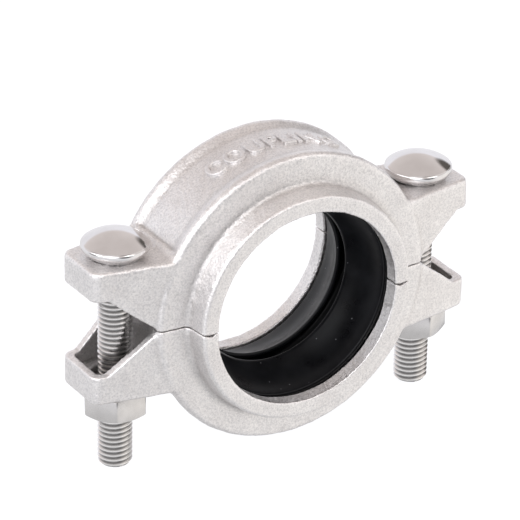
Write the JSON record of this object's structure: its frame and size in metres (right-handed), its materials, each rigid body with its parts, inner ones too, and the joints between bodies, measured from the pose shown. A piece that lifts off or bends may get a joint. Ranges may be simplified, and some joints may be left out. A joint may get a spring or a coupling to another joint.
{
  "type": "grooved pipe coupling",
  "caption": "Rigid grooved pipe coupling: a split cast ring with side ears, closed by track bolts and hex nuts around a rubber gasket, joining grooved pipe ends.",
  "frame": {"origin": "centre of the bore, on the pipe axis, midway between the two keys, at the parting plane", "axes": "+X from the left bolt to the right bolt, +Y along the pipe axis, away from the side seen at the front, +Z along the bolts, towards their heads"},
  "size_m": [0.124, 0.0424, 0.0887],
  "materials": {
    "cast_stainless": "shot-blasted cast stainless steel",
    "gasket_rubber": "smooth moulded rubber",
    "bolt_steel": "polished stainless steel",
    "nut_steel": "satin stainless steel"
  },
  "bodies": {
    "upper_half": {"upper_housing": "cast_stainless", "left_bolt": "bolt_steel", "right_bolt": "bolt_steel"},
    "lower_half": {"lower_housing": "cast_stainless"},
    "seal": {"gasket": "gasket_rubber"},
    "left_nut": {"left_nut": "nut_steel"},
    "right_nut": {"right_nut": "nut_steel"}
  },
  "joints": [
    {"name": "housing_opening", "type": "slide", "parent": "upper_half", "child": "lower_half", "axis": [0, 0, -1], "range_m": [0, 0.012]},
    {"name": "left_nut_turn", "type": "hinge", "parent": "lower_half", "child": "left_nut", "pos_m": [-0.05, 0, -0.0245], "axis": [0, 0, -1], "range_deg": [0, 2881]},
    {"name": "right_nut_turn", "type": "hinge", "parent": "lower_half", "child": "right_nut", "pos_m": [0.05, 0, -0.0245], "axis": [0, 0, -1], "range_deg": [0, 2881]},
    {"name": "gasket_centring", "type": "slide", "parent": "upper_half", "child": "seal", "axis": [0, 0, -1], "range_m": [0, 0.00601]}
  ],
  "couplings": [
    {"joint": "left_nut_turn", "follows": "housing_opening", "rad_per_m": 4188.8},
    {"joint": "right_nut_turn", "follows": "housing_opening", "rad_per_m": 4188.8},
    {"joint": "gasket_centring", "follows": "housing_opening", "ratio": 0.5}
  ]
}
